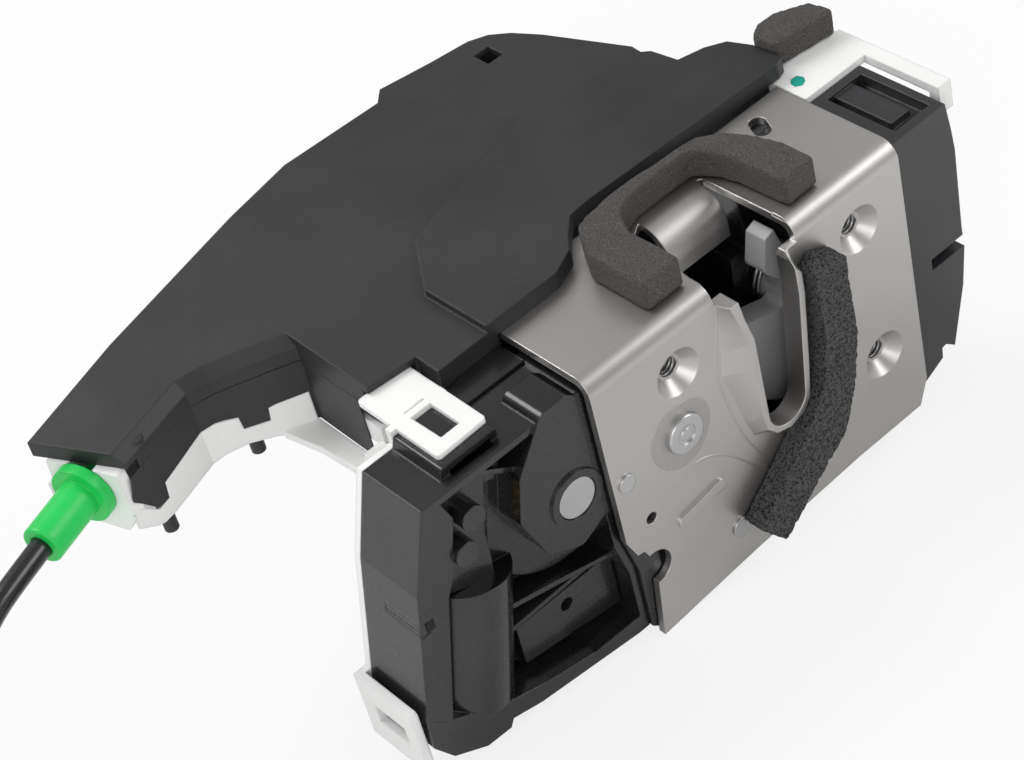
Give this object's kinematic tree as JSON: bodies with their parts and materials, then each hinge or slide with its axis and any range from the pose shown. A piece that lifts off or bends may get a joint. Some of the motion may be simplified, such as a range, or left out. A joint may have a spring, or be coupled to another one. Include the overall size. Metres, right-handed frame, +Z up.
{
  "type": "car door latch",
  "caption": "Side door latch with claw, pawl, motor-driven lock actuator, connector block and inside handle cable.",
  "frame": {"origin": "centre of the face plate's upper left screw hole, on the plate's outer face", "axes": "+X along the face plate towards the connector, +Y back into the door, +Z up towards the flange"},
  "size_m": [0.3571, 0.1198, 0.0897],
  "materials": {
    "black_plastic": "moulded",
    "brass": "turned",
    "contact_brass": "tinned contact",
    "foam": "closed-cell foam",
    "green_plastic": "moulded",
    "rubber": "moulded",
    "sheath": "extruded",
    "spring_steel": "drawn wire",
    "steel": "zinc plated sheet",
    "white_plastic": "moulded"
  },
  "bodies": {
    "base": {"actuator_housing": "black_plastic", "ajar_switch": "black_plastic", "back_plate": "steel", "cable_coil": "sheath", "cable_end": "steel", "cable_sheath": "sheath", "cable_sleeve": "green_plastic", "carrier": "white_plastic", "claw_pin": "steel", "claw_spring": "spring_steel", "connector_housing": "black_plastic", "connector_pins": "contact_brass", "cover": "black_plastic", "foam_cover_block": "foam", "foam_face_strip": "foam", "foam_mouth_seal": "foam", "latch_body": "black_plastic", "latch_plate": "steel", "lever_pin": "steel", "lever_spring": "spring_steel", "motor": "steel", "pawl_pin": "steel", "pawl_spring": "spring_steel", "plate_rivets": "steel", "striker_bumper": "rubber", "wheel_axle": "steel"},
    "claw": {"claw": "steel"},
    "pawl": {"pawl": "steel"},
    "release_lever": {"release_lever": "steel"},
    "inner_cable": {"inner_cable": "spring_steel"},
    "worm_wheel": {"worm_wheel": "white_plastic"},
    "worm": {"worm": "brass"},
    "lock_slider": {"lock_slider": "white_plastic"}
  },
  "joints": [
    {"name": "claw_turn", "type": "hinge", "parent": "base", "child": "claw", "pos_m": [0.046, 0.011, -0.014], "axis": [0, -1, 0], "range_deg": [0, 60], "stiffness_Nm_per_rad": 0.1, "springref_deg": -28.65},
    {"name": "lever_swing", "type": "hinge", "parent": "base", "child": "release_lever", "pos_m": [-0.0191, 0.0565, 0.007], "axis": [0, 0, 1], "range_deg": [0, 8], "stiffness_Nm_per_rad": 0.2, "springref_deg": -17.19},
    {"name": "pawl_lift", "type": "hinge", "parent": "base", "child": "pawl", "pos_m": [-0.0022, 0.011, -0.0159], "axis": [0, 1, 0], "range_deg": [0, 15]},
    {"name": "cable_pull", "type": "slide", "parent": "base", "child": "inner_cable", "axis": [-0.9336, -0.3584, 0], "range_m": [0, 0.0064]},
    {"name": "wheel_turn", "type": "hinge", "parent": "base", "child": "worm_wheel", "pos_m": [-0.0308, 0.0145, -0.014], "axis": [0, 1, 0], "range_deg": [0, 60]},
    {"name": "worm_spin", "type": "hinge", "parent": "base", "child": "worm", "pos_m": [-0.05377, 0.0145, -0.00815], "axis": [-0.247, 0, -0.969], "range_deg": [0, 2880]},
    {"name": "slider_lift", "type": "slide", "parent": "base", "child": "lock_slider", "axis": [0, 0, 1], "range_m": [0, 0.0121]}
  ],
  "couplings": [
    {"joint": "pawl_lift", "follows": "lever_swing", "ratio": 1.875},
    {"joint": "cable_pull", "follows": "lever_swing", "m_per_rad": 0.045},
    {"joint": "worm_spin", "follows": "wheel_turn", "ratio": 48},
    {"joint": "slider_lift", "follows": "wheel_turn", "m_per_rad": 0.011459}
  ]
}
